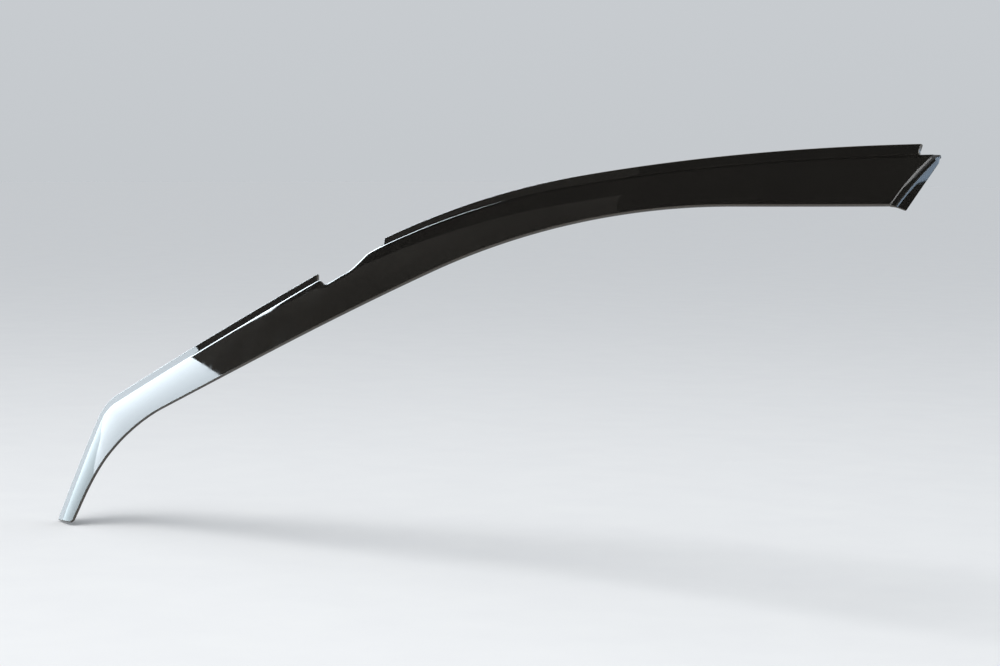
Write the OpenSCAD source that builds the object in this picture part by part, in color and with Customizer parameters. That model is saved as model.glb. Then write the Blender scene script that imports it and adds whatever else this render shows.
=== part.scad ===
// Window rain deflector for the front left door of a saloon car. It is one sheet of
// smoke acrylic, hot-formed over a mould, whose top flange is pushed into the window channel.
// X runs to the rear of the car, Y to its inside and Z up. The origin is on the outside
// of the glass, where the bend line meets the rear end.

/* [Sheet] */
// Thickness of the acrylic sheet
sheet_t = 3; // [2:0.5:4]
// Rounding of the polished lower edge
edge_round = 1; // [0.5:0.1:1.2]

/* [Door glass] */
// Radius of the glass from top to bottom
glass_r = 2000; // [1500:50:4000]
// Lean of the glass to the inside at its top, in degrees from upright
glass_lean = 32; // [15:1:45]
// Radius of the door frame seen from above
plan_r = 9000; // [5000:100:20000]

/* [Bend line under the channel] */
// Fall of the bend line at the rear end, in degrees
roof_slope = 1; // [0:0.5:5]
// Fall where the roof line turns into the brow, in degrees
brow_slope = 9.5; // [6:0.5:15]
// Fall along the windscreen pillar, in degrees
pillar_slope = 29.5; // [22:0.5:40]
// Fall of the leg at the mirror corner, in degrees
leg_slope = 82.5; // [76:0.5:88]
// Radius of the roof line
roof_r = 2500; // [2000:50:3500]
// Radius of the brow
brow_r = 875; // [600:25:1200]
// Straight length along the windscreen pillar
pillar_len = 330; // [250:5:400]
// Radius of the mirror corner
corner_r = 30; // [20:1:45]
// Length of the leg below the mirror corner
leg_len = 111; // [90:1:140]

/* [Lower edge] */
// Depth of the visor at the rear end
rear_depth = 56; // [45:1:75]
// Fall of the lower edge at the rear end, in degrees
hem_slope = 1.5; // [0:0.5:5]
// Straight length of the lower edge from the rear end
hem_len = 155; // [80:5:220]
// Radius of the lower edge below the brow
hem_brow_r = 820; // [700:10:950]
// Fall of the lower edge along the pillar, in degrees
hem_pillar_slope = 25; // [22:0.5:27]
// Radius of the lower edge at the mirror corner
hem_corner_r = 190; // [120:5:220]
// Fall of the lower edge beside the leg, in degrees
hem_leg_slope = 72; // [66:0.5:76]
// Width of the leg at its foot
foot_w = 28; // [24:1:40]
// Rounding of the foot's free corner
foot_round = 9; // [3:1:12]

/* [Section] */
// Depth of the flange that goes into the window channel
flange_d = 9; // [6:0.5:14]
// Hollow bend from the flange to the step, on the outer skin
step_in_r = 3; // [2:0.5:5]
// Round bend from the step to the face, on the outer skin
step_out_r = 8; // [6:0.5:10]
// Share of the stand-off that the step takes
step_share = 0.4; // [0.3:0.05:0.5]
// Crown of the face, as the angle it turns through
crown = 14; // [6:1:20]
// Stand-off of the lower edge at the rear end
rear_off = 17; // [14:1:24]
// Stand-off of the lower edge below the brow
brow_off = 21; // [16:1:28]
// Stand-off of the lower edge at the mirror corner
corner_off = 13; // [10:1:18]
// Stand-off of the lower edge at the foot
foot_off = 8; // [6:1:12]

/* [Rear end wall] */
// Lean of the rear end along the door pillar, in degrees
end_lean = 13; // [0:1:20]
// Bend from the face to the end wall, on the outer skin
end_r = 5; // [4:0.5:6]
// Gap that the end wall leaves to the glass
end_gap = 1; // [0.5:0.5:2]
// Rise of the end wall's lower edge towards the glass
end_rise = 5; // [0:0.5:8]
// Length of flange that is left off at the rear end
flange_back = 16; // [10:1:30]

/* [Notch] */
// Distance of the notch from the mirror corner, along the bend line
notch_at = 308; // [200:2:320]
// Length of the notch
notch_len = 88; // [60:1:100]
// Depth of the notch below the bend line
notch_d = 19; // [12:0.5:22]

/* [Hidden] */
// Steps between sections along the roof, brow, pillar, corner and leg
STEPS = [14, 18, 16, 10, 10];
// Sections round the bend of the end wall
END_STEPS = 13;
// Rows of points on the two bends of the step and on the face
STEP_ROWS = 4;
FACE_ROWS = 7;
// Share of the lower edge's mirror corner that fans out from the bend line's own
FAN_SHARE = 0.25;
// Where the deepest stand-off lies along the roof and the brow
BROW_SHARE = 0.75;
// Ramps of the notch at its front and its rear, as shares of its length
NOTCH_RAMPS = [0.27, 0.46];
// Length by which the cutting tools and the uncut sheet run past the cuts
OVERRUN = 4;
end_run = end_r + 1;

function rad(a) = a * PI / 180;
function mix(a, b, t) = a + (b - a) * t;
function unit(v) = v / norm(v);
function heading(a) = [-cos(a), -sin(a)];
function window_side(a) = [sin(a), -cos(a)];
function total(v, n) = n <= 0 ? 0 : v[n - 1] + total(v, n - 1);

// Rails on the unrolled glass: [along the car, up the glass]. A rail is a chain of
// [length, slope at its rear, slope at its front], laid out forwards and down.
function bow(len, a0, a1) =
    a0 == a1 ? len * heading(a0) : len / rad(a1 - a0) * [sin(a0) - sin(a1), cos(a1) - cos(a0)];
function walk(rail, at, s, i = 0) =
    let (len = rail[i][0], a0 = rail[i][1], a1 = rail[i][2], a = mix(a0, a1, s / len))
    s <= len || i == len(rail) - 1
        ? [at + bow(s, a0, a), a]
        : walk(rail, at + bow(len, a0, a1), s - len, i + 1);
function arc(r, a0, a1) = [r * rad(a1 - a0), a0, a1];
function rail_len(rail, n) = total([for (leg = rail) leg[0]], n);

bend_rail = [
    arc(roof_r, roof_slope, brow_slope),
    arc(brow_r, brow_slope, pillar_slope),
    [pillar_len, pillar_slope, pillar_slope],
    arc(corner_r, pillar_slope, leg_slope),
    [leg_len + OVERRUN, leg_slope, leg_slope]
];
bend_start = [0, 0];
brow_end = rail_len(bend_rail, 2);
corner_start = rail_len(bend_rail, 3);
corner_end = rail_len(bend_rail, 4);
bend_end = rail_len(bend_rail, 5);
foot = walk(bend_rail, bend_start, bend_end - OVERRUN)[0];
foot_over = walk(bend_rail, bend_start, bend_end)[0];

// The lower edge's pillar and leg lines meet in a corner that its own radius rounds
hem_start = rear_depth * [-tan(end_lean), -1];
hem_brow = [[hem_len, hem_slope, hem_slope], arc(hem_brow_r, hem_slope, hem_pillar_slope)];
hem_turn = walk(hem_brow, hem_start, rail_len(hem_brow, 2))[0];
hem_foot = [foot_over[0] + foot_w - OVERRUN / tan(hem_leg_slope), foot_over[1]];
pillar_way = heading(hem_pillar_slope);
leg_way = heading(hem_leg_slope);
to_foot = hem_foot - hem_turn;
corner_cut = hem_corner_r * tan((hem_leg_slope - hem_pillar_slope) / 2);
hem_rail = concat(hem_brow, [
    [cross(to_foot, leg_way) / cross(pillar_way, leg_way) - corner_cut, hem_pillar_slope, hem_pillar_slope],
    arc(hem_corner_r, hem_pillar_slope, hem_leg_slope),
    [cross(pillar_way, to_foot) / cross(pillar_way, leg_way) - corner_cut, hem_leg_slope, hem_leg_slope]
]);
hem_corner_mid = rail_len(hem_rail, 3) + hem_rail[3][0] / 2;
hem_fan = hem_rail[3][0] * FAN_SHARE;
// Where each place on the bend line has its partner on the lower edge. The lower edge is
// the inside track of the brow, so it is shorter by the visor's depth times the turn.
partner = [
    [0, 0],
    [brow_end, brow_end - rear_depth * (rad(pillar_slope - roof_slope) + tan(end_lean))],
    [corner_start, hem_corner_mid - hem_fan / 2],
    [corner_end, hem_corner_mid + hem_fan / 2],
    [bend_end, rail_len(hem_rail, 5)]
];

// Stand-off of the lower edge along the bend line, eased between the places that set it
off_places = [
    [0, rear_off], [BROW_SHARE * brow_end, brow_off], [corner_start, corner_off], [bend_end, foot_off]
];
function eased(s, p, i = 0) =
    s <= p[i + 1][0] || i == len(p) - 2
        ? mix(p[i][1], p[i + 1][1], (1 - cos(180 * (s - p[i][0]) / (p[i + 1][0] - p[i][0]))) / 2)
        : eased(s, p, i + 1);

// From the unrolled glass to the part's frame, for a point q at n outside the glass
span = -foot[0];
function lean_at(up) = glass_lean + up / glass_r * 180 / PI;
function on_glass(q, n) =
    let (a = lean_at(q[1]), r = glass_r + n)
    [
        q[0],
        glass_r * cos(glass_lean) - r * cos(a) + q[0] * (q[0] + span) / (2 * plan_r),
        r * sin(a) - glass_r * sin(glass_lean)
    ];

// The section of the outer skin, as [down from the bend line, out from the glass]:
// the flange, a hollow bend, a round bend and the crowned face
function turned(from, r, a0, a1, rows) = [
    for (i = [1 : rows]) let (a = mix(a0, a1, i / rows)) from + r * [sin(a0) - sin(a), cos(a) - cos(a0)]
];
function step_rise(off) = step_share * (off - sheet_t);
function step_angle(face_a, off) =
    acos(1 - (step_rise(off) + step_out_r * (1 - cos(face_a))) / (step_in_r + step_out_r));
function step_run(face_a, off) =
    let (b = step_angle(face_a, off)) step_in_r * sin(b) + step_out_r * (sin(b) - sin(face_a));
function face_tilt(depth, run, off) = atan2(off - sheet_t - step_rise(off), depth - run);
function face_start(depth, off) =
    let (guess = face_tilt(depth, step_in_r + step_out_r / 2, off) + crown / 2)
    face_tilt(depth, step_run(guess, off), off) + crown / 2;
function section(depth, off) =
    let (
        a = face_start(depth, off),
        b = step_angle(a, off),
        hollow = turned([0, sheet_t], -step_in_r, 0, b, STEP_ROWS),
        round = turned(hollow[STEP_ROWS - 1], step_out_r, b, a, STEP_ROWS),
        top = round[STEP_ROWS - 1],
        chord = [depth, off] - top,
        tilt = atan2(chord[1], chord[0]),
        face_r = norm(chord) / (2 * sin(crown / 2))
    )
    concat(
        [[-flange_d, sheet_t], [0, sheet_t]],
        hollow, round,
        turned(top, face_r, tilt + crown / 2, tilt - crown / 2, FACE_ROWS)
    );

// A row of the outer skin across the sheet, at s along the bend line. The flange and
// the step stand square to the bend line, and the face runs straight to the lower edge.
function skin_row(s) =
    let (
        place = walk(bend_rail, bend_start, s),
        hem = walk(hem_rail, hem_start, lookup(s, partner))[0],
        off = eased(s, off_places),
        square_way = window_side(place[1]),
        guess = norm(hem - place[0]),
        run = step_run(face_start(guess, off), off),
        shoulder = place[0] + run * square_way,
        depth = run + norm(hem - shoulder)
    )
    [
        for (p = section(depth, off)) let (past = (p[0] - run) / (depth - run))
            [past <= 0 ? place[0] + p[0] * square_way : mix(shoulder, hem, past), p[1]]
    ];

// The end wall: each row of the skin goes on to the rear, turns in by the end's
// radius and stops short of the glass. The flange only goes on.
function turned_in(l, drop) =
    let (r = min(end_r, drop), flat = end_run - r, bend = r * PI / 2)
    l <= flat || r == 0 ? [l, 0]
    : l <= flat + bend ? let (a = (l - flat) / r * 180 / PI) [flat + r * sin(a), r * (1 - cos(a))]
    : [end_run, r + l - flat - bend];
function wall_len(drop) = let (r = min(end_r, drop)) end_run + drop - 2 * r + r * PI / 2;
function wall_row(k) = [
    for (p = skin_row(0))
        let (
            height = min(1, (p[1] - sheet_t) / step_rise(rear_off)),
            drop = p[1] - mix(sheet_t, end_gap, height),
            t = turned_in(wall_len(drop) * k / END_STEPS, drop),
            rise = end_rise * t[1] / (rear_off - end_gap) * max(0, -p[0][1] / rear_depth)
        )
        [p[0] + t[0] * [cos(end_lean), -sin(end_lean)] + [0, rise], p[1] - t[1]]
];

places = [
    for (i = [0 : 4], k = [(i == 0 ? 0 : 1) : STEPS[i]])
        rail_len(bend_rail, i) + bend_rail[i][0] * k / STEPS[i]
];
rows = concat([for (k = [END_STEPS : -1 : 1]) wall_row(k)], [for (s = places) skin_row(s)]);
outer = [for (row = rows) [for (p = row) on_glass(p[0], p[1])]];
last_row = len(outer) - 1;
last_col = len(outer[0]) - 1;
function skin_normal(i, j) =
    unit(cross(
        outer[min(i + 1, last_row)][j] - outer[max(i - 1, 0)][j],
        outer[i][min(j + 1, last_col)] - outer[i][max(j - 1, 0)]
    ));
normals = [for (i = [0 : last_row]) [for (j = [0 : last_col]) skin_normal(i, j)]];

// One closed loop round the sheet at each row: outer skin, polished edge, inner skin
function edge_turn(at, out, way, a) = at + edge_round * ((sin(a) - 1) * way + (cos(a) - 1) * out);
function loop(i) =
    let (
        hem = outer[i][last_col],
        out = normals[i][last_col],
        way = unit(hem - outer[i][last_col - 1]),
        inside = hem - sheet_t * out
    )
    concat(
        [for (j = [0 : last_col - 1]) outer[i][j]],
        [for (a = [0, 45, 90]) edge_turn(hem, out, way, a)],
        [for (a = [90, 45, 0]) edge_turn(inside, -out, way, a)],
        [for (j = [last_col - 1 : -1 : 0]) outer[i][j] - sheet_t * normals[i][j]]
    );

// Skins a list of closed loops and caps both ends with strips across the sheet
module lofted(loops) {
    n = len(loops[0]);
    m = len(loops);
    at = function(i, j) i * n + j % n;
    polyhedron(
        points = [for (l = loops) each l],
        faces = concat(
            [for (i = [0 : m - 2], j = [0 : n - 1]) [at(i, j), at(i, j + 1), at(i + 1, j + 1)]],
            [for (i = [0 : m - 2], j = [0 : n - 1]) [at(i, j), at(i + 1, j + 1), at(i + 1, j)]],
            [for (j = [0 : n / 2 - 2]) each [[j, n - 1 - j, n - 2 - j], [j, n - 2 - j, j + 1]]],
            [for (j = [0 : n / 2 - 2]) let (b = (m - 1) * n)
                each [[b + j, b + n - 2 - j, b + n - 1 - j], [b + j, b + j + 1, b + n - 2 - j]]]
        )
    );
}

// Stands a flat outline on the glass at q, turned by a, and pushes it through the sheet
module through_sheet(q, a) {
    translate(on_glass(q, 0)) rotate([90 - lean_at(q[1]), 0, 0]) rotate([0, 0, a])
        translate([0, 0, -OVERRUN - sheet_t]) linear_extrude(rear_off + brow_off + sheet_t) children();
}

// The notch in the bend: a short ramp at the front, a flat floor and a long ramp to the rear
module notch() {
    s = corner_start - notch_at;
    ramp = function(t) (1 - cos(180 * t)) / 2;
    front = NOTCH_RAMPS[0] * notch_len;
    rear = NOTCH_RAMPS[1] * notch_len;
    through_sheet(walk(bend_rail, bend_start, s)[0], pillar_slope)
        polygon(concat(
            [[0, flange_d + OVERRUN]],
            [for (t = [0 : 1 / 6 : 1]) [front * t, -notch_d * ramp(t)]],
            [for (t = [0 : 1 / 8 : 1]) [notch_len - rear * (1 - t), -notch_d * ramp(1 - t)]],
            [[notch_len, flange_d + OVERRUN]]
        ));
}

// The flange stops short of the rear end, with a rounded inner corner
module flange_end() {
    r = flange_d / 2;
    through_sheet(bend_start, roof_slope) translate([-flange_back, -sheet_t / 2]) difference() {
        square([flange_back + end_run + OVERRUN, flange_d + sheet_t + OVERRUN]);
        difference() {
            square(r);
            translate([r, r]) circle(r, $fn = 48);
        }
    }
}

// The foot is cut level, and its free corner is rounded
module foot_end() {
    r = foot_round;
    corner = [foot_w, 0];
    half = (180 - hem_leg_slope) / 2;
    turn = 180 - 2 * half;
    start = corner - [r / tan(half), 0];
    through_sheet(foot, 0) {
        translate([-2 * foot_w, -3 * OVERRUN]) square([4 * foot_w, 3 * OVERRUN]);
        polygon(concat(
            [corner + [OVERRUN, -OVERRUN], start - [0, OVERRUN]],
            [for (t = [0 : 1 / 8 : 1]) start + r * [sin(turn * t), 1 - cos(turn * t)]],
            [corner + r / tan(half) * [cos(hem_leg_slope), sin(hem_leg_slope)] + [OVERRUN, 0]]
        ));
    }
}

module visor() {
    color([0.12, 0.11, 0.10, 0.85]) difference() {
        lofted([for (i = [0 : last_row]) loop(i)]);
        notch();
        flange_end();
        foot_end();
    }
}

visor();
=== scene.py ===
"""A window rain deflector of smoke acrylic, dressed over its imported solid.

The sheet is drawn again from the sizes of the solid, with finer rows, a polished round edge
all the way round and the finish of gloss smoke acrylic. Lengths inside the sheet's classes
are in millimetres, and the mesh goes out in metres in the row frame.
"""

import logging
import math
from dataclasses import dataclass
from enum import IntEnum
from typing import Any, Mapping, Sequence

import bpy
import numpy as np
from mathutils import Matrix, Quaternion, Vector


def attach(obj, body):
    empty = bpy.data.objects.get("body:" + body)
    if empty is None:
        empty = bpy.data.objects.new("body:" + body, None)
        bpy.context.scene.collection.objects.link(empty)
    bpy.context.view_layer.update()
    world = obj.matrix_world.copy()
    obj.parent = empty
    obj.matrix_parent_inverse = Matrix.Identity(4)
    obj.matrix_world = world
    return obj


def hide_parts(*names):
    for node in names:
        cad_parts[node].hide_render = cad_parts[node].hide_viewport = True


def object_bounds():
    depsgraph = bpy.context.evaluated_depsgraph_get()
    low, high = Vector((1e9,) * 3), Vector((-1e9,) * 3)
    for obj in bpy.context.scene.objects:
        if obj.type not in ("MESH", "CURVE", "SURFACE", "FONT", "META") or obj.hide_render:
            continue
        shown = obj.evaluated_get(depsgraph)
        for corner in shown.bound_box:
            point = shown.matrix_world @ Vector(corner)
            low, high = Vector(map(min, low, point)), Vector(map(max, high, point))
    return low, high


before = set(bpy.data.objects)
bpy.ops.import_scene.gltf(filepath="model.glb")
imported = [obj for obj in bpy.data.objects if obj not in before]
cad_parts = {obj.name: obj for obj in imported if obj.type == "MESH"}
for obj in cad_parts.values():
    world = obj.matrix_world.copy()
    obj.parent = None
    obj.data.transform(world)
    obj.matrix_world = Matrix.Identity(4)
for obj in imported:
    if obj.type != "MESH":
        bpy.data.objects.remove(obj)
cad_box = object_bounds()

log = logging.getLogger("window_visor")
Array = np.ndarray
MM = 0.001
# An angle or a length below this counts as none
TINY = 1e-9
# Points of the sheet that agree to half a micrometre are one point
WELD_STEPS_PER_MM = 2000
# The floor lies this far under the sheet's foot, in mm
FLOOR_GAP = 0.5
# Columns of a point of the skin: where it is and which way it faces, with the notch's
# easing and without, and its place on the unrolled mould
EASED_AT, EASED_OUT, EASED = slice(0, 3), slice(3, 6), slice(0, 6)
PLAIN_AT, PLAIN_OUT = slice(6, 9), slice(9, 12)
ON_MOULD = slice(12, 14)


class Face(IntEnum):
    """Which finish a face of the sheet takes, as its place in the mesh's material list."""

    SHEET = 0
    EDGE = 1


class Mark(IntEnum):
    """Ends of the stretches along the bend line, counted from the rear end."""

    REAR = 0
    ROOF = 1
    BROW = 2
    PILLAR = 3
    CORNER = 4
    LEG = 5


# ---------------------------------------------------------------- lines of the sheet


def heading(slope: float) -> Array:
    """Unit step forwards and down a line that falls at slope degrees."""
    a = math.radians(slope)
    return np.array([-math.cos(a), -math.sin(a)])


def square_way(slope: float) -> Array:
    """Unit step across the sheet, from the bend line towards the lower edge."""
    a = math.radians(slope)
    return np.array([math.sin(a), -math.cos(a)])


@dataclass(frozen=True)
class Leg:
    """A straight or evenly curved stretch of a rail, laid out forwards."""

    length: float
    rear_slope: float
    front_slope: float

    def slope_at(self, s: float) -> float:
        """Fall at s mm from the rear of the leg, in degrees."""
        return self.rear_slope + (self.front_slope - self.rear_slope) * s / self.length

    def step(self, s: float) -> Array:
        """Way gone after s mm along the leg.

        Args:
            s: distance from the rear of the leg.

        Returns:
            The step on the unrolled mould, along it and up it.
        """
        a0, a1 = math.radians(self.rear_slope), math.radians(self.slope_at(s))
        if abs(a1 - a0) < TINY:
            return s * heading(self.rear_slope)
        return s / (a1 - a0) * np.array([math.sin(a0) - math.sin(a1), math.cos(a1) - math.cos(a0)])


def arc(radius: float, rear_slope: float, front_slope: float) -> Leg:
    """A leg that turns from one slope to another at a radius."""
    return Leg(radius * math.radians(front_slope - rear_slope), rear_slope, front_slope)


@dataclass(frozen=True)
class Rail:
    """A chain of legs on the unrolled mould."""

    start: tuple[float, float]
    legs: tuple[Leg, ...]

    def length_to(self, count: int) -> float:
        """Length of the first legs."""
        return sum(leg.length for leg in self.legs[:count])

    def walk(self, s: float) -> tuple[Array, float]:
        """Point and slope at s mm along the rail.

        Args:
            s: distance from the rail's rear end.

        Returns:
            The point on the unrolled mould and the slope there in degrees.
        """
        at = np.array(self.start, float)
        for leg in self.legs[:-1]:
            if s <= leg.length:
                return at + leg.step(s), leg.slope_at(s)
            at = at + leg.step(leg.length)
            s -= leg.length
        return at + self.legs[-1].step(s), self.legs[-1].slope_at(s)


@dataclass(frozen=True)
class Mould:
    """The surface that the sheet is formed to, a leaning barrel with a bow along it."""

    radius: float = 2000.0
    lean: float = 32.0
    plan_radius: float = 9000.0
    span: float = 980.0

    def place(self, q: Array, out: Array) -> Array:
        """Stands points of the unrolled mould in the row frame.

        Args:
            q: points along the mould and up it, in mm.
            out: their distance outside the mould, in mm.

        Returns:
            The points in the row frame, in mm.
        """
        lean = math.radians(self.lean)
        a, r, x = lean + q[..., 1] / self.radius, self.radius + out, q[..., 0]
        bow = x * (x + self.span) / (2 * self.plan_radius)
        y = self.radius * math.cos(lean) - r * np.cos(a) + bow
        return np.stack([x, y, r * np.sin(a) - self.radius * math.sin(lean)], axis=-1)


def turned(start: Array, radius: float, a0: float, a1: float, shares: Array) -> Array:
    """Points round a bend of the section.

    Args:
        start: where the bend starts, as down from the bend line and out from the mould.
        radius: the bend's radius, negative for a hollow one.
        a0: tilt of the skin at the start, in degrees.
        a1: tilt of the skin at the end, in degrees.
        shares: where the points lie, as shares of the bend.

    Returns:
        One point a share.
    """
    a, b = np.radians(a0 + (a1 - a0) * shares), math.radians(a0)
    return start + radius * np.stack([math.sin(b) - np.sin(a), np.cos(a) - math.cos(b)], axis=1)


@dataclass(frozen=True)
class Section:
    """The section across the outer skin: flange, hollow bend, round bend, crowned face."""

    thickness: float = 3.0
    flange: float = 9.0
    hollow_radius: float = 3.0
    round_radius: float = 8.0
    step_share: float = 0.4
    crown: float = 14.0
    flange_rows: int = 4
    hollow_rows: int = 7
    round_rows: int = 9
    face_rows: int = 34
    tilt_rounds: int = 2

    def rise(self, off: float) -> float:
        """Part of the stand-off that the step takes."""
        return self.step_share * (off - self.thickness)

    def step_angle(self, face_angle: float, off: float) -> float:
        """Steepest tilt of the step, in degrees."""
        lift = self.rise(off) + self.round_radius * (1 - math.cos(math.radians(face_angle)))
        return math.degrees(math.acos(1 - lift / (self.hollow_radius + self.round_radius)))

    def step_run(self, face_angle: float, off: float) -> float:
        """Depth that the step takes below the bend line."""
        b = math.sin(math.radians(self.step_angle(face_angle, off)))
        return self.hollow_radius * b + self.round_radius * (b - math.sin(math.radians(face_angle)))

    def face_start(self, depth: float, off: float) -> float:
        """Works out the tilt of the face where it leaves the step.

        Args:
            depth: depth of the sheet below the bend line.
            off: stand-off of the lower edge from the mould.

        Returns:
            The tilt in degrees, found in a few rounds because the step depends on it.
        """
        left = off - self.thickness - self.rise(off)
        guess = self.hollow_radius + self.round_radius / 2
        for _ in range(self.tilt_rounds):
            tilt = math.degrees(math.atan2(left, depth - guess)) + self.crown / 2
            guess = self.step_run(tilt, off)
        return tilt

    def points(self, depth: float, off: float, inset: float) -> Array:
        """Points across the skin, from the flange's top to the lower edge.

        Args:
            depth: depth of the sheet below the bend line.
            off: stand-off of the lower edge from the mould.
            inset: how far the first and the last point stay inside the sheet's edges.

        Returns:
            Points as down from the bend line and out from the mould.
        """
        face_angle = self.face_start(depth, off)
        steep = self.step_angle(face_angle, off)
        counts = (self.hollow_rows, self.round_rows, self.face_rows)
        shares = [np.arange(1, rows + 1) / rows for rows in counts]
        down = np.linspace(inset - self.flange, 0, self.flange_rows + 1)
        flange = np.stack([down, np.full_like(down, self.thickness)], axis=1)
        hollow = turned(flange[-1], -self.hollow_radius, 0, steep, shares[0])
        bulge = turned(hollow[-1], self.round_radius, steep, face_angle, shares[1])
        chord = np.array([depth, off]) - bulge[-1]
        tilt = math.degrees(math.atan2(chord[1], chord[0]))
        length = float(np.linalg.norm(chord))
        half = self.crown / 2
        kept = shares[2] * (1 - inset / length)
        radius = length / (2 * math.sin(math.radians(half)))
        face = turned(bulge[-1], radius, tilt + half, tilt - half, kept)
        return np.concatenate([flange, hollow, bulge, face])


# ---------------------------------------------------------------- outlines of the cuts


def distance_to_line(points: Array, line: Array) -> Array:
    """Distance from each point to an open line of straight pieces.

    Args:
        points: points in a plane, in the last axis.
        line: the line's corners in order.

    Returns:
        One distance a point.
    """
    a, way = line[:-1], np.diff(line, axis=0)
    from_a = points[..., None, :] - a
    t = np.clip((from_a * way).sum(-1) / (way * way).sum(-1), 0, 1)
    return np.sqrt(((from_a - t[..., None] * way) ** 2).sum(-1)).min(-1)


def seen_from(points: Array, at: Array, turn: float) -> Array:
    """Points in axes that stand at a place and are turned by some degrees."""
    a = math.radians(turn)
    return (points - at) @ np.array([[math.cos(a), -math.sin(a)], [math.sin(a), math.cos(a)]])


def trimmed(data: Array, clear: Array, inset: float) -> Array:
    """Draws the start of each row in to where it comes clear of an outline.

    Args:
        data: rows of points, with all that is known of a point in the last axis.
        clear: how far inside the outline each point is, negative outside it.
        inset: how far inside the outline the rows are to start.

    Returns:
        The same rows, with all points before the crossing moved to it.
    """
    out = data.copy()
    for row, c, kept in zip(data, clear, out):
        outside = np.flatnonzero(c < inset)
        if len(outside):
            j = int(outside[-1])
            t = (inset - c[j]) / (c[j + 1] - c[j])
            kept[: j + 1] = row[j] + t * (row[j + 1] - row[j])
    return out


def unit(v: Array) -> Array:
    """Vectors of length one, along the last axis."""
    return v / np.linalg.norm(v, axis=-1, keepdims=True)


def faced(points: Array) -> Array:
    """Rows of points, each with the outward normal of their surface after it."""
    along, across = np.gradient(points, axis=0), np.gradient(points, axis=1)
    return np.concatenate([points, unit(np.cross(along, across))], axis=-1)


# ---------------------------------------------------------------- nodes and finishes


def srgb(code: str) -> tuple[float, float, float, float]:
    """Linear colour of an sRGB hex code.

    Args:
        code: the colour as #rrggbb.

    Returns:
        Red, green, blue and alpha as Blender's sockets take them.
    """
    parts = [int(code[i : i + 2], 16) / 255 for i in (1, 3, 5)]
    linear = [c / 12.92 if c <= 0.04045 else ((c + 0.055) / 1.055) ** 2.4 for c in parts]
    return (linear[0], linear[1], linear[2], 1.0)


def add_node(
    tree: bpy.types.NodeTree, kind: str, settings: Mapping[str, Any], sockets: Mapping[str, Any]
) -> bpy.types.Node:
    """Adds one node with its settings and links.

    Args:
        tree: the node tree.
        kind: the node's type, without its leading ShaderNode.
        settings: the node's own properties.
        sockets: values and output sockets for its inputs, by name or by number.

    Returns:
        The new node.
    """
    node = tree.nodes.new("ShaderNode" + kind)
    for name, value in settings.items():
        setattr(node, name, value)
    for name, value in sockets.items():
        socket = node.inputs[name]
        if isinstance(value, bpy.types.NodeSocket):
            tree.links.new(value, socket)
        else:
            socket.default_value = value
    return node


def new_material(name: str) -> bpy.types.Material:
    """Makes a node material with nothing in it.

    Args:
        name: what the material is called.

    Returns:
        The empty material.
    """
    material = bpy.data.materials.new(name)
    material.use_nodes = True
    material.node_tree.nodes.clear()
    return material


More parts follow.
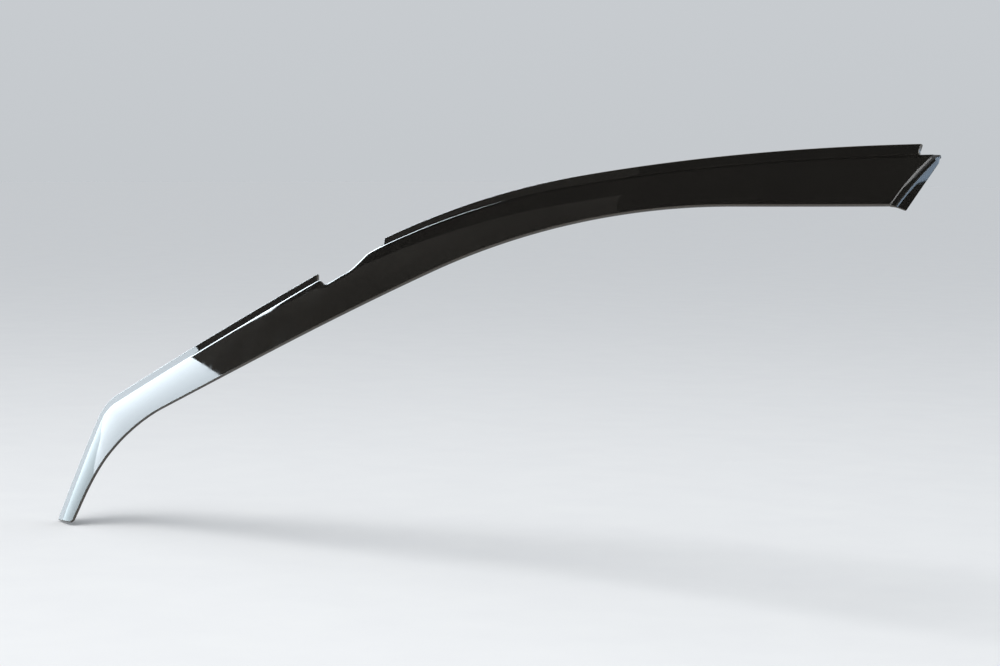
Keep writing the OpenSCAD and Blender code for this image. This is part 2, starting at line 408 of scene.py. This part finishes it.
@dataclass(frozen=True)
class SmokeAcrylic:
    """Cast smoke-tinted acrylic, hot-formed and left as the mould gave it.

    It looks almost black in front of anything dark and lets a little of a pale ground
    through as warm brown. Its gloss is deep and wet, with mirror-like edges to each
    reflection. The reflections waver slightly, because hot sheet draws unevenly.
    """

    name: str
    tint: str
    tint_drawn: str
    see_through: float
    gloss: float
    film: float
    ior: float = 1.49
    draw_mm: float = 85.0
    draw_height_mm: float = 0.06
    peel_mm: float = 5.0
    peel_height_mm: float = 0.0005
    film_mm: float = 42.0
    film_from: float = 0.16
    film_to: float = 0.42
    run_mm: float = 14.0
    run_stretch: tuple[float, float, float] = (1.0, 0.3, 0.12)

    def make(self) -> bpy.types.Material:
        """Builds the material.

        Returns:
            The finished material.
        """
        material = new_material(self.name)
        tree = material.node_tree
        where = add_node(tree, "TexCoord", {}, {}).outputs["Object"]
        # The tint is dyed through, so it only varies where the sheet was drawn thinner
        drawn = add_node(
            tree,
            "TexNoise",
            {},
            {"Vector": where, "Scale": 1 / (self.draw_mm * MM), "Detail": 2.0},
        )
        tint = add_node(
            tree,
            "Mix",
            {"data_type": "RGBA"},
            {"Factor": drawn.outputs["Fac"], "A": srgb(self.tint), "B": srgb(self.tint_drawn)},
        )
        # A thin film of dried rain takes the edge off the gloss in soft patches and runs
        patches = add_node(
            tree,
            "TexNoise",
            {},
            {"Vector": where, "Scale": 1 / (self.film_mm * MM), "Detail": 5.0, "Roughness": 0.6},
        )
        stretched = add_node(tree, "Mapping", {}, {"Vector": where, "Scale": self.run_stretch})
        runs = add_node(
            tree,
            "TexNoise",
            {},
            {"Vector": stretched.outputs["Vector"], "Scale": 1 / (self.run_mm * MM), "Detail": 3.0},
        )
        both = add_node(
            tree,
            "Math",
            {"operation": "MULTIPLY"},
            {0: patches.outputs["Fac"], 1: runs.outputs["Fac"]},
        )
        roughness = add_node(
            tree,
            "MapRange",
            {"interpolation_type": "SMOOTHSTEP"},
            {
                "Value": both.outputs[0],
                "From Min": self.film_from,
                "From Max": self.film_to,
                "To Min": self.gloss,
                "To Max": self.film,
            },
        )
        # Long waves come from the draw of the hot sheet, short ones from the mould's felt,
        # whose own grain of 1 mm is too fine to show and is drawn at peel_mm
        peel = add_node(
            tree,
            "TexNoise",
            {},
            {"Vector": where, "Scale": 1 / (self.peel_mm * MM), "Detail": 1.0},
        )
        long_waves = add_node(
            tree,
            "Bump",
            {},
            {"Height": drawn.outputs["Fac"], "Distance": self.draw_height_mm * MM, "Strength": 1.0},
        )
        waves = add_node(
            tree,
            "Bump",
            {},
            {
                "Height": peel.outputs["Fac"],
                "Distance": self.peel_height_mm * MM,
                "Strength": 1.0,
                "Normal": long_waves.outputs["Normal"],
            },
        )
        shader = add_node(
            tree,
            "BsdfPrincipled",
            {},
            {
                "Base Color": tint.outputs["Result"],
                "Roughness": roughness.outputs["Result"],
                "IOR": self.ior,
                "Transmission Weight": self.see_through,
                "Normal": waves.outputs["Normal"],
            },
        )
        add_node(tree, "OutputMaterial", {}, {"Surface": shader.outputs["BSDF"]})
        return material


@dataclass(frozen=True)
class MattFinish:
    """A dead matt surface of the studio, with a soft change of tone across it.

    Its real grain is too fine to show, so the tone changes over grain_mm.
    """

    name: str
    colour: str
    colour_low: str
    grain_mm: float = 60.0

    def make(self) -> bpy.types.Material:
        """Builds the material.

        Returns:
            The finished material.
        """
        material = new_material(self.name)
        tree = material.node_tree
        where = add_node(tree, "TexCoord", {}, {}).outputs["Object"]
        grain = add_node(
            tree,
            "TexNoise",
            {},
            {"Vector": where, "Scale": 1 / (self.grain_mm * MM), "Detail": 4.0},
        )
        colour = add_node(
            tree,
            "Mix",
            {"data_type": "RGBA"},
            {"Factor": grain.outputs["Fac"], "A": srgb(self.colour), "B": srgb(self.colour_low)},
        )
        shader = add_node(
            tree,
            "BsdfPrincipled",
            {},
            {"Base Color": colour.outputs["Result"], "Roughness": 1.0, "Specular IOR Level": 0.0},
        )
        add_node(tree, "OutputMaterial", {}, {"Surface": shader.outputs["BSDF"]})
        return material


# Cast PMMA 3 mm thick in dark smoke: near black, glossy as glass
SHEET_FINISH = SmokeAcrylic(
    name="smoke_acrylic_sheet",
    tint="#211f1d",
    tint_drawn="#2b2925",
    see_through=0.85,
    gloss=0.02,
    film=0.075,
)
# The sawn edge of the same sheet, flame-polished, with a softer gloss. Its tint is paler than
# the faces' as a painted highlight, standing in for the light that a lit edge gathers
EDGE_FINISH = SmokeAcrylic(
    name="smoke_acrylic_polished_edge_painted_highlight",
    tint="#4a4640",
    tint_drawn="#57524a",
    see_through=0.3,
    gloss=0.10,
    film=0.20,
    peel_mm=2.5,
    peel_height_mm=0.004,
)
# Matt emulsion on a smooth floor: even, pale and without any shine, so that the sheet's
# own gloss is the only gloss in view
FLOOR_FINISH = MattFinish(name="matt_floor_paint", colour="#eaeae9", colour_low="#e5e5e5")
# Brushed black cotton, greyer in soft patches: painted light and shade standing in for folds, which
# gives its reflection a gentle change of tone
BLACK_CLOTH = MattFinish(
    name="black_flag_cloth", colour="#3a3734", colour_low="#1d1b19", grain_mm=900.0
)
# The same cloth in a paler grey, which paints a lighter reflection into the part of the face that
# shows it
PALE_GREY_CLOTH = MattFinish(
    name="pale_grey_flag_cloth", colour="#7a756f", colour_low="#47443f", grain_mm=260.0
)


# ---------------------------------------------------------------- the visor


@dataclass
class Visor:
    """The one-piece visor: its lines, its trimmed skin and the mesh made from them.

    From the rear forwards its stretches are called roof, brow, pillar, corner and leg.
    Its lower edge is called the hem. Lengths are in mm, and slopes and leans in degrees.
    """

    roof_slope: float = 1.0
    brow_slope: float = 9.5
    pillar_slope: float = 29.5
    leg_slope: float = 82.5
    roof_radius: float = 2500.0
    brow_radius: float = 875.0
    pillar_length: float = 330.0
    corner_radius: float = 30.0
    leg_length: float = 111.0
    rear_depth: float = 56.0
    hem_slope: float = 1.5
    hem_length: float = 155.0
    hem_brow_radius: float = 820.0
    hem_pillar_slope: float = 25.0
    hem_corner_radius: float = 190.0
    hem_leg_slope: float = 72.0
    fan_share: float = 0.25
    foot_width: float = 28.0
    foot_rounding: float = 9.0
    rear_off: float = 17.0
    brow_off: float = 21.0
    brow_share: float = 0.75
    corner_off: float = 13.0
    foot_off: float = 8.0
    end_lean: float = 13.0
    end_radius: float = 5.0
    end_flat: float = 1.0
    end_gap: float = 1.0
    end_rise: float = 5.0
    flange_back: float = 16.0
    notch_at: float = 308.0
    notch_length: float = 88.0
    notch_depth: float = 19.0
    notch_ramps: tuple[float, float] = (0.27, 0.46)
    notch_top: float = 60.0
    ramp_points: int = 28
    edge_rounding: float = 1.0
    eased_width: float = 9.0
    eased_depth: float = 1.0
    eased_below: float = 6.0
    overrun: float = 4.0
    wall_rows: int = 30
    edge_rows: int = 4
    # Distance between the rows of each stretch, and over the notch and the foot
    row_spacing: tuple[float, ...] = (3.6, 3.0, 3.0, 0.9, 2.4)
    notch_spacing: float = 1.0
    foot_spacing: float = 0.8
    foot_reach: float = 16.0
    # Closest rows, and how far they reach on both sides of the notch's rear end, its
    # front end and the flange's end
    cut_spacing: float = 0.25
    cut_reach: tuple[tuple[float, float], ...] = ((4.0, 3.0), (2.0, 3.0), (6.0, 3.0))
    least_spacing: float = 0.12

    def __post_init__(self) -> None:
        """Lays out the rails and what hangs on them."""
        self.section = Section()
        self.bend = Rail(
            (0.0, 0.0),
            (
                arc(self.roof_radius, self.roof_slope, self.brow_slope),
                arc(self.brow_radius, self.brow_slope, self.pillar_slope),
                Leg(self.pillar_length, self.pillar_slope, self.pillar_slope),
                arc(self.corner_radius, self.pillar_slope, self.leg_slope),
                Leg(self.leg_length + self.overrun, self.leg_slope, self.leg_slope),
            ),
        )
        self.marks = [self.bend.length_to(mark) for mark in Mark]
        self.foot = self.bend.walk(self.marks[Mark.LEG] - self.overrun)[0]
        self.hem = self.hem_rail()
        self.mould = Mould(span=-float(self.foot[0]))
        middle = self.hem.length_to(3) + self.hem.legs[3].length / 2
        fan = self.hem.legs[3].length * self.fan_share
        turn = math.radians(self.pillar_slope - self.roof_slope)
        turn += math.tan(math.radians(self.end_lean))
        # How far along the hem the rows end that start at the marks, the roof's left out
        self.partners = [
            0.0,
            self.marks[Mark.BROW] - self.rear_depth * turn,
            middle - fan / 2,
            middle + fan / 2,
            self.hem.length_to(5),
        ]

    def hem_rail(self) -> Rail:
        """Lays out the lower edge.

        Returns:
            The rail, whose pillar and leg lines meet in a corner of their own radius.
        """
        over = self.bend.walk(self.marks[Mark.LEG])[0]
        start = self.rear_depth * np.array([-math.tan(math.radians(self.end_lean)), -1.0])
        brow = (
            Leg(self.hem_length, self.hem_slope, self.hem_slope),
            arc(self.hem_brow_radius, self.hem_slope, self.hem_pillar_slope),
        )
        rear = Rail((start[0], start[1]), brow)
        turn_at = rear.walk(rear.length_to(2))[0]
        widening = self.overrun / math.tan(math.radians(self.hem_leg_slope))
        end = np.array([over[0] + self.foot_width - widening, over[1]])
        along, down = heading(self.hem_pillar_slope), heading(self.hem_leg_slope)
        left = end - turn_at
        cross = along[0] * down[1] - along[1] * down[0]
        turn = math.radians(self.hem_leg_slope - self.hem_pillar_slope)
        cut = self.hem_corner_radius * math.tan(turn / 2)
        pillar = (left[0] * down[1] - left[1] * down[0]) / cross - cut
        leg = (along[0] * left[1] - along[1] * left[0]) / cross - cut
        return Rail(
            rear.start,
            brow
            + (
                Leg(pillar, self.hem_pillar_slope, self.hem_pillar_slope),
                arc(self.hem_corner_radius, self.hem_pillar_slope, self.hem_leg_slope),
                Leg(leg, self.hem_leg_slope, self.hem_leg_slope),
            ),
        )

    def stand_off(self, s: float) -> float:
        """Eases the stand-off of the lower edge between the places that set it.

        Args:
            s: distance along the bend line from the rear end.

        Returns:
            The lower edge's distance outside the mould.
        """
        marks = self.marks
        at = [0.0, self.brow_share * marks[Mark.BROW], marks[Mark.PILLAR], marks[Mark.LEG]]
        off = [self.rear_off, self.brow_off, self.corner_off, self.foot_off]
        i = max(i for i in range(3) if i == 0 or s > at[i])
        t = (1 - math.cos(math.pi * (s - at[i]) / (at[i + 1] - at[i]))) / 2
        return off[i] + (off[i + 1] - off[i]) * t

    def skin_row(self, s: float) -> tuple[Array, Array]:
        """One row across the outer skin.

        Args:
            s: distance along the bend line from the rear end.

        Returns:
            Its points on the unrolled mould, and their distances outside the mould.
        """
        place, slope = self.bend.walk(s)
        partner_at = [self.marks[mark] for mark in Mark if mark != Mark.ROOF]
        hem = self.hem.walk(float(np.interp(s, partner_at, self.partners)))[0]
        off, square = self.stand_off(s), square_way(slope)
        guess = float(np.linalg.norm(hem - place))
        run = self.section.step_run(self.section.face_start(guess, off), off)
        shoulder = place + run * square
        depth = run + float(np.linalg.norm(hem - shoulder))
        points = self.section.points(depth, off, self.edge_rounding)
        past = ((points[:, 0] - run) / (depth - run))[:, None]
        q = np.where(past <= 0, place + points[:, :1] * square, shoulder + past * (hem - shoulder))
        return q, points[:, 1]

    def wall_row(self, share: float) -> tuple[Array, Array]:
        """One row of the end wall, which goes on from the first row of the skin.

        Args:
            share: how far the row is along the wall, from the skin to the mould.

        Returns:
            Its points on the unrolled mould, and their distances outside the mould.
        """
        q, out = self.skin_row(0.0)
        height = np.minimum(1, (out - self.section.thickness) / self.section.rise(self.rear_off))
        drop = out - (self.section.thickness + (self.end_gap - self.section.thickness) * height)
        reach = self.end_radius + self.end_flat
        r = np.minimum(self.end_radius, drop)
        length = reach + drop - 2 * r + r * math.pi / 2 - self.edge_rounding
        gone, flat, bend = length * share, reach - r, r * math.pi / 2
        a = np.clip((gone - flat) / np.maximum(r, TINY), 0, math.pi / 2)
        back = np.where(gone <= flat, gone, flat + r * np.sin(a))
        past = r * (1 - np.cos(a)) + np.maximum(0, gone - flat - bend)
        turned_in = np.where(gone <= flat, 0.0, past)
        rise = self.end_rise * turned_in / (self.rear_off - self.end_gap)
        rise = rise * np.maximum(0, -q[:, 1] / self.rear_depth)
        lean = math.radians(self.end_lean)
        shift = np.stack([back * math.cos(lean), rise - back * math.sin(lean)], axis=1)
        return q + shift, out - turned_in

    def row_places(self) -> Array:
        """Spaces the rows along the bend line, closest at the corner and the cuts.

        Returns:
            Their distances from the rear end, in order.
        """
        runs = [
            np.linspace(a, b, math.ceil((b - a) / step) + 1)
            for a, b, step in zip(self.marks[:-1], self.marks[1:], self.row_spacing)
        ]
        front = self.marks[Mark.PILLAR] - self.notch_at
        rear = front - self.notch_length
        foot = self.marks[Mark.LEG] - self.overrun
        runs.append(np.arange(rear, front, self.notch_spacing))
        runs.append(np.arange(foot - self.foot_reach, foot + self.overrun, self.foot_spacing))
        for at, (before, after) in zip((rear, front, self.flange_back), self.cut_reach):
            runs.append(np.arange(at - before, at + after, self.cut_spacing))
        places = np.unique(np.concatenate(runs))
        return places[np.concatenate([[True], np.diff(places) > self.least_spacing])]

    def from_notch(self, q: Array) -> Array:
        """Points from the notch's front end, along the pillar and up across it."""
        front = self.bend.walk(self.marks[Mark.PILLAR] - self.notch_at)[0]
        return seen_from(q, front, self.pillar_slope)

    def notch_clearance(self, q: Array) -> Array:
        """Measures how far points are from the notch.

        Args:
            q: points on the unrolled mould.

        Returns:
            One distance a point, negative inside the notch.
        """
        p = self.from_notch(q)
        t = np.linspace(0, 1, self.ramp_points)
        ramp = (1 - np.cos(np.pi * t)) / 2
        front, rear = (share * self.notch_length for share in self.notch_ramps)
        line = np.concatenate(
            [
                [[0.0, self.notch_top]],
                np.stack([front * t, -self.notch_depth * ramp], axis=1),
                np.stack(
                    [self.notch_length - rear * (1 - t), -self.notch_depth * ramp[::-1]], axis=1
                ),
                [[self.notch_length, self.notch_top]],
            ]
        )
        floor = np.interp(p[..., 0], line[1:-1, 0], line[1:-1, 1])
        inside = (p[..., 0] > 0) & (p[..., 0] < self.notch_length) & (p[..., 1] > floor)
        return np.where(inside, -1, 1) * distance_to_line(p, line)

    def easing(self, q: Array) -> Array:
        """How deep the outer skin rolls over towards the notch's rim.

        The hot sheet sags over the mould's edge there, which rounds the rim far more
        than the polish does. It starts below the bend line, clear of the flange.

        Args:
            q: points on the unrolled mould.

        Returns:
            One depth a point.
        """
        gap, least = self.notch_clearance(q), self.edge_rounding
        u = np.clip(1 - np.maximum(gap, least) / self.eased_width, 0, None)
        curve = np.sqrt(1 - u * u)
        beyond = np.maximum(least - gap, 0) * u / (self.eased_width * curve)
        below = np.clip(-self.from_notch(q)[..., 1] / self.eased_below, 0, 1)
        return self.eased_depth * (1 - curve + beyond) * below * below * (3 - 2 * below)

    def flange_end_clearance(self, q: Array) -> Array:
        """Measures how far points are from the cut at the flange's rear end.

        Args:
            q: points on the unrolled mould.

        Returns:
            One distance a point, negative where the flange is left off.
        """
        corner = np.array([-self.flange_back, -self.section.thickness / 2])
        p = seen_from(q, np.zeros(2), self.roof_slope) - corner
        r = self.section.flange / 2
        rounded = np.linalg.norm(p - r, axis=-1) - r
        square = np.maximum(-p[..., 0], -p[..., 1])
        in_corner = (p[..., 0] < r) & (p[..., 1] < r) & (rounded > 0)
        return np.where(in_corner, np.maximum(rounded, square), square)

    def foot_clearance(self, q: Array) -> Array:
        """Measures how far points are inside the foot's level cut and rounded corner.

        Args:
            q: points on the unrolled mould.

        Returns:
            One distance a point, negative past the cut.
        """
        p, r = q - self.foot, self.foot_rounding
        half = math.radians(180 - self.hem_leg_slope) / 2
        centre = np.array([self.foot_width - r / math.tan(half), r])
        from_centre = p - centre
        beside = (from_centre * -heading(self.hem_leg_slope)).sum(-1) < 0
        rounded = r - np.linalg.norm(from_centre, axis=-1)
        return np.where((from_centre[..., 0] > 0) & beside, rounded, p[..., 1])

    def skin(self) -> Array:
        """The trimmed skin, edge_rounding short of the sheet's own outline.

        Returns:
            Rows of points in mm in the row frame, each with its outward normal, and the
            same again without the easing at the notch, which the inner side follows.
        """
        rows = [self.wall_row(k / self.wall_rows) for k in range(self.wall_rows, 0, -1)]
        rows += [self.skin_row(float(s)) for s in self.row_places()]
        q = np.stack([row[0] for row in rows])
        plain = faced(self.mould.place(q, np.stack([row[1] for row in rows])))
        eased = faced(plain[..., :3] - self.easing(q)[..., None] * plain[..., 3:])
        data = np.concatenate([eased, plain, q], axis=-1)
        for cut in (self.flange_end_clearance, self.notch_clearance):
            data = trimmed(data, cut(data[..., ON_MOULD]), self.edge_rounding)
        # The foot ends the columns and not the rows, so they change places for its cut
        data = data[::-1].swapaxes(0, 1)
        data = trimmed(data, self.foot_clearance(data[..., ON_MOULD]), self.edge_rounding)
        data = data.swapaxes(0, 1)[::-1]
        return np.concatenate(
            [
                data[..., EASED_AT],
                unit(data[..., EASED_OUT]),
                data[..., PLAIN_AT],
                unit(data[..., PLAIN_OUT]),
            ],
            axis=-1,
        )

    def welded(self, skin: Array) -> tuple[Array, list[list[int]]]:
        """Joins the points that the cuts drew together and makes the skin's faces.

        Args:
            skin: rows of points, with all that is known of a point in the last axis.

        Returns:
            The single points, and the faces, which turn about the normals.
        """
        found: dict[tuple[int, ...], int] = {}
        kept: list[tuple[int, int]] = []
        index = np.zeros(skin.shape[:2], int)
        for place in np.ndindex(*skin.shape[:2]):
            key = tuple(int(v) for v in np.round(skin[place][EASED_AT] * WELD_STEPS_PER_MM))
            if key not in found:
                found[key] = len(kept)
                kept.append(place)
            index[place] = found[key]
        faces: list[list[int]] = []
        for i in range(len(index) - 1):
            for j in range(index.shape[1] - 1):
                corners = ((i, j), (i + 1, j), (i + 1, j + 1), (i, j + 1))
                ring = [int(index[corner]) for corner in corners]
                ring = [v for n, v in enumerate(ring) if v != ring[n - 1]]
                if len(set(ring)) == len(ring) > 2:
                    faces.append(ring)
        return skin[tuple(np.array(kept).T)], faces

    def rim(self, faces: Sequence[Sequence[int]]) -> list[int]:
        """The skin's outline, in the direction that keeps the skin on its left.

        Args:
            faces: the skin's faces.

        Returns:
            The points of the outline in order.
        """
        sides = {(ring[n - 1], v) for ring in faces for n, v in enumerate(ring)}
        follow = {a: b for a, b in sides if (b, a) not in sides}
        start = min(follow)
        loop = [start]
        while follow[loop[-1]] != start:
            loop.append(follow[loop[-1]])
        if len(loop) != len(follow):
            raise ValueError(f"the outline has {len(loop)} of the skin's {len(follow)} edge pieces")
        return loop

    def edge_rings(self, outer: Array, inner: Array) -> tuple[list[Array], list[Array]]:
        """Rounds the sheet's edge from the outer skin to the inner one.

        Args:
            outer: the outline of the outer skin in order, points with their normals.
            inner: the same outline on the inner skin.

        Returns:
            The rings of points between the two skins, and the rings of their normals.
        """
        angles = [math.pi / 2 * k / self.edge_rows for k in range(1, self.edge_rows + 1)]
        places, facing = [], []
        for line, turn, quarter in ((outer, 1, angles), (inner, -1, angles[::-1])):
            at, out = line[:, :3], line[:, 3:]
            side = turn * unit(np.cross(unit(np.roll(at, -1, axis=0) - at), out))
            way = side + np.roll(side, 1, axis=0)
            way = unit(way - (way * out).sum(-1, keepdims=True) * out)
            for a in quarter:
                gone = math.sin(a) * way + (math.cos(a) - 1) * out
                places.append(at + self.edge_rounding * gone)
                facing.append(math.sin(a) * way + math.cos(a) * out)
        return places, facing

    def build(self) -> bpy.types.Object:
        """Makes the mesh of the whole sheet.

        Returns:
            The visor's object, in the row frame.
        """
        skin, faces = self.welded(self.skin())
        outer, out = skin[:, EASED], skin[:, PLAIN_OUT]
        inner = np.concatenate([skin[:, PLAIN_AT] - self.section.thickness * out, -out], axis=1)
        loop = self.rim(faces)
        places, facing = self.edge_rings(outer[loop], inner[loop])
        count = len(skin)
        vertices = np.concatenate([outer[:, :3], inner[:, :3], *places])
        directions = np.concatenate([outer[:, 3:], inner[:, 3:], *facing])
        back = [[v + count for v in reversed(ring)] for ring in faces]
        rings = [list(loop)]
        firsts = (2 * count + k * len(loop) for k in range(len(places)))
        rings += [[first + n for n in range(len(loop))] for first in firsts]
        rings.append([v + count for v in loop])
        edge = [
            [a[n - 1], b[n - 1], b[n], a[n]]
            for a, b in zip(rings[:-1], rings[1:])
            for n in range(len(loop))
        ]
        mesh = bpy.data.meshes.new("visor_sheet")
        mesh.from_pydata((vertices * MM).tolist(), [], faces + back + edge)
        mesh.polygons.foreach_set("use_smooth", [True] * len(mesh.polygons))
        slots = [int(Face.SHEET)] * (2 * len(faces)) + [int(Face.EDGE)] * len(edge)
        mesh.polygons.foreach_set("material_index", slots)
        mesh.normals_split_custom_set_from_vertices(unit(directions).tolist())
        mesh.update()
        visor = bpy.data.objects.new("visor_sheet", mesh)
        bpy.context.scene.collection.objects.link(visor)
        return visor

    def dress(self, visor: bpy.types.Object) -> None:
        """Gives the visor its finishes and its place in the frame.

        Args:
            visor: the visor's object.
        """
        for finish in (SHEET_FINISH, EDGE_FINISH):
            visor.data.materials.append(finish.make())
        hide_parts("visor")
        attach(visor, "root")


# ---------------------------------------------------------------- studio and camera


@dataclass(frozen=True)
class SoftBox:
    """A soft lamp with an even square face."""

    name: str
    place: tuple[float, float, float]
    aim: tuple[float, float, float]
    width: float
    height: float
    brightness: float
    tint: str
    lights_matt: bool = True

    def build(self) -> bpy.types.Object:
        """Hangs the lamp and turns it to what it lights.

        Returns:
            The lamp's object.
        """
        lamp = bpy.data.lights.new(self.name, "AREA")
        lamp.shape = "RECTANGLE"
        lamp.size, lamp.size_y = self.width, self.height
        lamp.energy = self.brightness * math.pi * self.width * self.height
        lamp.color = srgb(self.tint)[:3]
        box = bpy.data.objects.new(self.name, lamp)
        box.location = self.place
        way = Vector(self.aim) - Vector(self.place)
        box.rotation_euler = way.to_track_quat("-Z", "Y").to_euler()
        box.visible_camera = box.visible_transmission = False
        box.visible_diffuse = self.lights_matt
        bpy.context.scene.collection.objects.link(box)
        return box


def arched_hem(
    crest: tuple[float, float], radius: float, ends: tuple[float, float], count: int
) -> list[tuple[float, float]]:
    """Points along the hem of a cloth that is cut to an arch.

    Args:
        crest: the arch's highest point, across and up.
        radius: the arch's radius.
        ends: where the arch starts and where it ends, across.
        count: how many points it gets.

    Returns:
        The points in order, across and up.
    """
    steps = [ends[0] + (ends[1] - ends[0]) * n / (count - 1) for n in range(count)]
    return [(y, crest[1] - radius + math.sqrt(radius**2 - (y - crest[0]) ** 2)) for y in steps]


@dataclass(frozen=True)
class Flag:
    """A dark cloth on a frame, which only reflections show.

    It ends a card's reflection in a clean line and keeps the sheet beyond it dark.
    """

    name: str
    corners: tuple[tuple[float, float, float], ...]
    finish: MattFinish = BLACK_CLOTH

    def build(self) -> bpy.types.Object:
        """Hangs the cloth.

        Returns:
            The cloth's object.
        """
        mesh = bpy.data.meshes.new(self.name)
        mesh.from_pydata(self.corners, [], [tuple(range(len(self.corners)))])
        mesh.materials.append(self.finish.make())
        cloth = bpy.data.objects.new(self.name, mesh)
        cloth.visible_camera = cloth.visible_diffuse = False
        cloth.visible_transmission = cloth.visible_shadow = False
        bpy.context.scene.collection.objects.link(cloth)
        return cloth


@dataclass
class Studio:
    """A pale floor under an even grey-white surround, with soft lamps."""

    floor_level: float
    floor_size: float = 60.0
    low_tone: str = "#c5c9cd"
    high_tone: str = "#dfe3e8"
    full_tone_at: float = 0.8
    lamps: tuple[SoftBox, ...] = (
        SoftBox(
            "overhead_softbox",
            place=(-0.3, -1.3, 2.6),
            aim=(-0.4, -0.1, -0.2),
            width=2.2,
            height=1.8,
            brightness=3.6,
            tint="#ffffff",
        ),
        # Both front cards whiten the visor's front, the low one a little less
        SoftBox(
            "front_high_card",
            place=(-4.4, 0.5, 0.88),
            aim=(-0.85, 0.5, 0.88),
            width=5.6,
            height=1.24,
            brightness=7.4,
            tint="#e9f6ff",
            lights_matt=False,
        ),
        SoftBox(
            "front_low_card",
            place=(-4.4, 0.5, -0.04),
            aim=(-0.85, 0.5, -0.04),
            width=5.6,
            height=0.60,
            brightness=4.2,
            tint="#e0f3fc",
            lights_matt=False,
        ),
        # This one puts the bluish patch on the end wall
        SoftBox(
            "rear_card",
            place=(0.575, 0.556, 0.31),
            aim=(0.0, 0.0, 0.31),
            width=1.1,
            height=1.277,
            brightness=5.0,
            tint="#bcd6f2",
            lights_matt=False,
        ),
    )
    flags: tuple[Flag, ...] = (
        Flag(
            "far_flag",
            ((-4.2, -3.6, 1.42), (-4.2, 4.4, 1.42), (-1.6, 4.4, 3.4), (-1.6, -3.6, 3.4)),
        ),
        # The hem of this one is cut to an arch, which the crowned face shows as a straight line
        Flag(
            "near_flag",
            tuple(
                (-1.15, y, z)
                for y, z in (
                    (-1.4, -0.075),
                    *arched_hem(crest=(-0.262, -0.059), radius=0.41, ends=(-0.31, -0.1), count=15),
                    (-0.1, 0.8),
                    (-1.4, 0.8),
                )
            ),
            PALE_GREY_CLOTH,
        ),
        # These two stand round the rear end and darken the bend of its wall
        Flag(
            "end_side_flag",
            ((-0.05, -0.35, 0.05), (0.55, -0.35, 0.05), (0.55, -0.35, 0.5), (-0.05, -0.35, 0.5)),
        ),
        Flag(
            "end_rear_flag",
            ((0.55, -0.35, 0.05), (0.55, 0.06, 0.05), (0.55, 0.06, 0.5), (0.55, -0.35, 0.5)),
        ),
        # This one lies under the rear card and darkens the lower half of the wall
        Flag(
            "rear_flag",
            ((0.75, -0.05, -0.386), (1.5, 0.7, -0.386), (0.7, 1.5, -0.386), (-0.05, 0.75, -0.386)),
        ),
    )

    def build_floor(self) -> bpy.types.Object:
        """Lays the floor just under the visor's foot.

        Returns:
            The floor's object.
        """
        half, z = self.floor_size / 2, self.floor_level
        mesh = bpy.data.meshes.new("studio_floor")
        corners = [(-half, -half, z), (half, -half, z), (half, half, z), (-half, half, z)]
        mesh.from_pydata(corners, [], [(0, 1, 2, 3)])
        mesh.materials.append(FLOOR_FINISH.make())
        floor = bpy.data.objects.new("studio_floor", mesh)
        bpy.context.scene.collection.objects.link(floor)
        return floor

    def build_surround(self) -> None:
        """Fills the world with a tone that rises gently from the horizon to the top."""
        world = bpy.data.worlds.new("studio_surround")
        world.use_nodes = True
        tree = world.node_tree
        tree.nodes.clear()
        where = add_node(tree, "TexCoord", {}, {}).outputs["Generated"]
        height = add_node(tree, "SeparateXYZ", {}, {"Vector": where}).outputs["Z"]
        rise = add_node(
            tree, "MapRange", {}, {"Value": height, "From Min": 0.0, "From Max": self.full_tone_at}
        )
        tone = add_node(
            tree,
            "Mix",
            {"data_type": "RGBA"},
            {"Factor": rise.outputs["Result"], "A": srgb(self.low_tone), "B": srgb(self.high_tone)},
        )
        glow = add_node(tree, "Background", {}, {"Color": tone.outputs["Result"], "Strength": 1.0})
        add_node(tree, "OutputWorld", {}, {"Surface": glow.outputs["Background"]})
        bpy.context.scene.world = world

    def build(self) -> None:
        """Builds the floor, the surround, the lamps and the flags."""
        self.build_floor()
        self.build_surround()
        for fitting in self.lamps + self.flags:
            fitting.build()


@dataclass(frozen=True)
class PhotoCamera:
    """The camera, where the photograph was taken from, turned to the visor alone."""

    place: tuple[float, float, float] = (1.15443, -1.52283, -0.00668)
    bearing: float = 47.478
    pitch: float = 4.145
    roll: float = 0.45
    lens: float = 86.0
    sensor: float = 36.0
    nearest: float = 0.05
    farthest: float = 200.0

    def build(self) -> bpy.types.Object:
        """Places the camera and makes it the scene's own.

        Returns:
            The camera's object.
        """
        bearing, pitch = math.radians(self.bearing), math.radians(self.pitch)
        level = math.cos(pitch)
        ahead = Vector((-math.sin(bearing) * level, math.cos(bearing) * level, -math.sin(pitch)))
        lens = bpy.data.cameras.new("photo_camera")
        lens.lens, lens.sensor_width, lens.sensor_fit = self.lens, self.sensor, "HORIZONTAL"
        lens.clip_start, lens.clip_end = self.nearest, self.farthest
        camera = bpy.data.objects.new("photo_camera", lens)
        camera.location = self.place
        turn = ahead.to_track_quat("-Z", "Y") @ Quaternion((0, 0, 1), math.radians(self.roll))
        camera.rotation_euler = turn.to_euler()
        bpy.context.scene.collection.objects.link(camera)
        bpy.context.scene.camera = camera
        return camera


def main() -> None:
    """Builds the visor, the studio and the camera in order."""
    logging.basicConfig(level=logging.INFO, format="%(message)s")
    bpy.context.scene.view_settings.view_transform = "Standard"
    PhotoCamera().build()
    visor = Visor()
    sheet = visor.build()
    visor.dress(sheet)
    log.info("%s: %d faces", sheet.name, len(sheet.data.polygons))
    studio = Studio(floor_level=cad_box[0][2] - FLOOR_GAP * MM)
    studio.build()
    log.info("studio: %d lamps, %d flags", len(studio.lamps), len(studio.flags))


if __name__ == "__main__":
    main()
